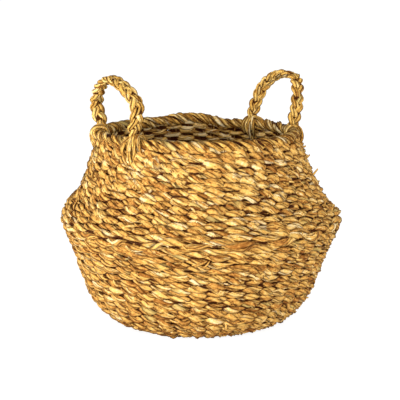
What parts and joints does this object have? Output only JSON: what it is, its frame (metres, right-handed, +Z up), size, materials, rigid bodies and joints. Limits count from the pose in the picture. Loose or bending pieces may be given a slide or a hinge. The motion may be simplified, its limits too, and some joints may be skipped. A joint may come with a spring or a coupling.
{
  "type": "belly basket",
  "caption": "Round woven seagrass basket with a folded belly, a narrower collar with a rolled border, and a plaited loop handle on each side.",
  "frame": {"origin": "centre of the flat underside of the base, on the surface that the basket stands on", "axes": "+Z up through the mouth, +X towards the right handle, +Y towards the back as the picture's camera stands about 28 degrees round from -Y towards -X"},
  "size_m": [0.3498, 0.3498, 0.3081],
  "materials": {
    "golden_seagrass": "plain woven dry seagrass, golden to straw, matt with a slight sheen on each blade",
    "shaded_seagrass": "plain woven dry seagrass seen from inside the basket, darker and matt",
    "pale_upright": "flat bundles of pale dry seagrass, hidden in the weave",
    "border_seagrass": "rolled border of larger dry seagrass strands, straw with a slight sheen",
    "plaited_seagrass": "plaited dry seagrass strands, golden, matt with a slight sheen"
  },
  "bodies": {
    "basket": {"base_underside": "golden_seagrass", "lower_wall_outer": "golden_seagrass", "upper_wall_outer": "golden_seagrass", "base_floor": "shaded_seagrass", "lower_wall_inner": "shaded_seagrass", "upper_wall_inner": "shaded_seagrass", "upright_low_01": "pale_upright", "upright_low_02": "pale_upright", "upright_low_03": "pale_upright", "upright_low_04": "pale_upright", "upright_low_05": "pale_upright", "upright_low_06": "pale_upright", "upright_low_07": "pale_upright", "upright_low_08": "pale_upright", "upright_low_09": "pale_upright", "upright_low_10": "pale_upright", "upright_low_11": "pale_upright", "upright_high_01": "pale_upright", "upright_high_02": "pale_upright", "upright_high_03": "pale_upright", "upright_high_04": "pale_upright", "upright_high_05": "pale_upright", "upright_high_06": "pale_upright", "upright_high_07": "pale_upright", "upright_high_08": "pale_upright", "upright_high_09": "pale_upright", "upright_high_10": "pale_upright", "upright_high_11": "pale_upright", "rolled_border": "border_seagrass", "right_handle_root_front": "plaited_seagrass", "right_handle_root_back": "plaited_seagrass", "left_handle_root_back": "plaited_seagrass", "left_handle_root_front": "plaited_seagrass"},
    "right_handle": {"right_handle_strand_1": "plaited_seagrass", "right_handle_strand_2": "plaited_seagrass", "right_handle_strand_3": "plaited_seagrass"},
    "left_handle": {"left_handle_strand_1": "plaited_seagrass", "left_handle_strand_2": "plaited_seagrass", "left_handle_strand_3": "plaited_seagrass"}
  },
  "joints": [
    {"name": "right_handle_tilt", "type": "hinge", "parent": "basket", "child": "right_handle", "pos_m": [0.10773, 0, 0.24709], "axis": [0, 1, 0], "range_deg": [-60, 50]},
    {"name": "left_handle_tilt", "type": "hinge", "parent": "basket", "child": "left_handle", "pos_m": [-0.10773, 0, 0.24709], "axis": [0, -1, 0], "range_deg": [-60, 60]}
  ]
}
